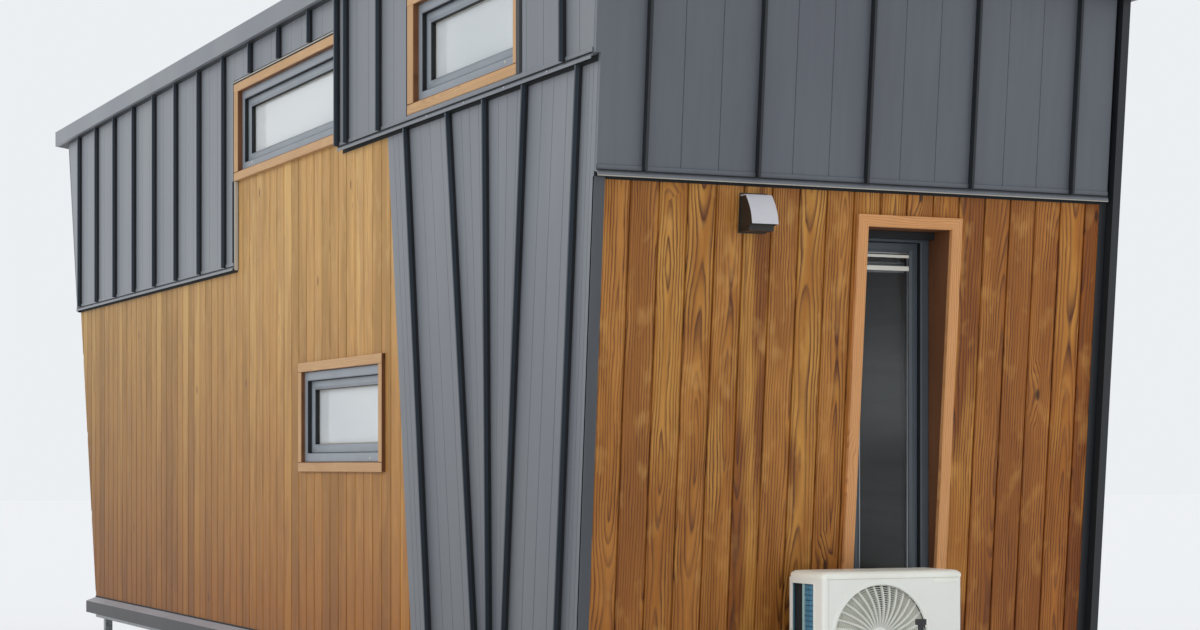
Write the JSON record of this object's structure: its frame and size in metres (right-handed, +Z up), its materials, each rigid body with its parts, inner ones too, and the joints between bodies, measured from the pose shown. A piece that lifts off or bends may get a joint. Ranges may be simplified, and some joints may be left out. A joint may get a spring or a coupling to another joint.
{
  "type": "tiny house on a trailer",
  "caption": "Small house on wheels with leaning ends, a single-pitch roof, board and standing seam metal cladding with a fan of slanted seams, and an outdoor unit on the drawbar.",
  "frame": {"origin": "on the ground, under the middle of the overall box", "axes": "+X along the house towards the drawbar, -Y the long side with the fan of seams, +Y the long side with the door, +Z up"},
  "size_m": [10.3934, 2.596, 4.0162],
  "materials": {
    "galvanised_steel": "dull, spangled zinc",
    "grey_sheet": "satin grey powder coat",
    "tyre": "moulded rubber",
    "wheel_steel": "silver lacquer",
    "cast_coupling": "coated casting",
    "floor_wood": "sealed plywood",
    "wall_wood": "light plywood lining",
    "seam_metal": "matt anthracite coated sheet",
    "side_boards": "oiled heat-treated pine",
    "end_boards": "oiled heat-treated pine, strong grain",
    "casing_wood": "planed and oiled softwood",
    "frame_grey": "grey window profile",
    "pane_glass": "clear double glazing",
    "blind_white": "white slats",
    "hood_grey": "pale grey moulding",
    "unit_white": "white enamel",
    "unit_fan_grey": "grey moulding"
  },
  "bodies": {
    "root": {"axles": "galvanised_steel", "blinds": "blind_white", "boards_left": "side_boards", "boards_near": "end_boards", "boards_rear": "end_boards", "boards_right": "side_boards", "casing_tall": "casing_wood", "casings_left": "casing_wood", "casings_right": "casing_wood", "chassis_rails": "galvanised_steel", "corner_jacks": "galvanised_steel", "coupling": "cast_coupling", "cross_members": "galvanised_steel", "door_casing": "casing_wood", "door_glass": "pane_glass", "door_leaf": "frame_grey", "drawbar_arms": "galvanised_steel", "drip_flashings": "seam_metal", "edge_beams": "grey_sheet", "floor_deck": "floor_wood", "frame_tall": "frame_grey", "frames_left": "frame_grey", "frames_right": "frame_grey", "jockey_handle": "cast_coupling", "jockey_wheel": "galvanised_steel", "metal_fan": "seam_metal", "metal_high_band": "seam_metal", "metal_low_band": "seam_metal", "metal_near": "seam_metal", "metal_rear": "seam_metal", "metal_right": "seam_metal", "near_corner_fin": "seam_metal", "pane_tall": "pane_glass", "panes_left": "pane_glass", "panes_right": "pane_glass", "roof_deck": "wall_wood", "roof_fascias": "seam_metal", "roof_sheet": "seam_metal", "tyres": "tyre", "unit_bars": "galvanised_steel", "unit_fan": "unit_fan_grey", "unit_grille": "unit_white", "unit_housing": "unit_white", "vent_hood": "hood_grey", "wall_left": "wall_wood", "wall_near": "wall_wood", "wall_rear": "wall_wood", "wall_right": "wall_wood", "wheel_rims": "wheel_steel"}
  },
  "joints": []
}
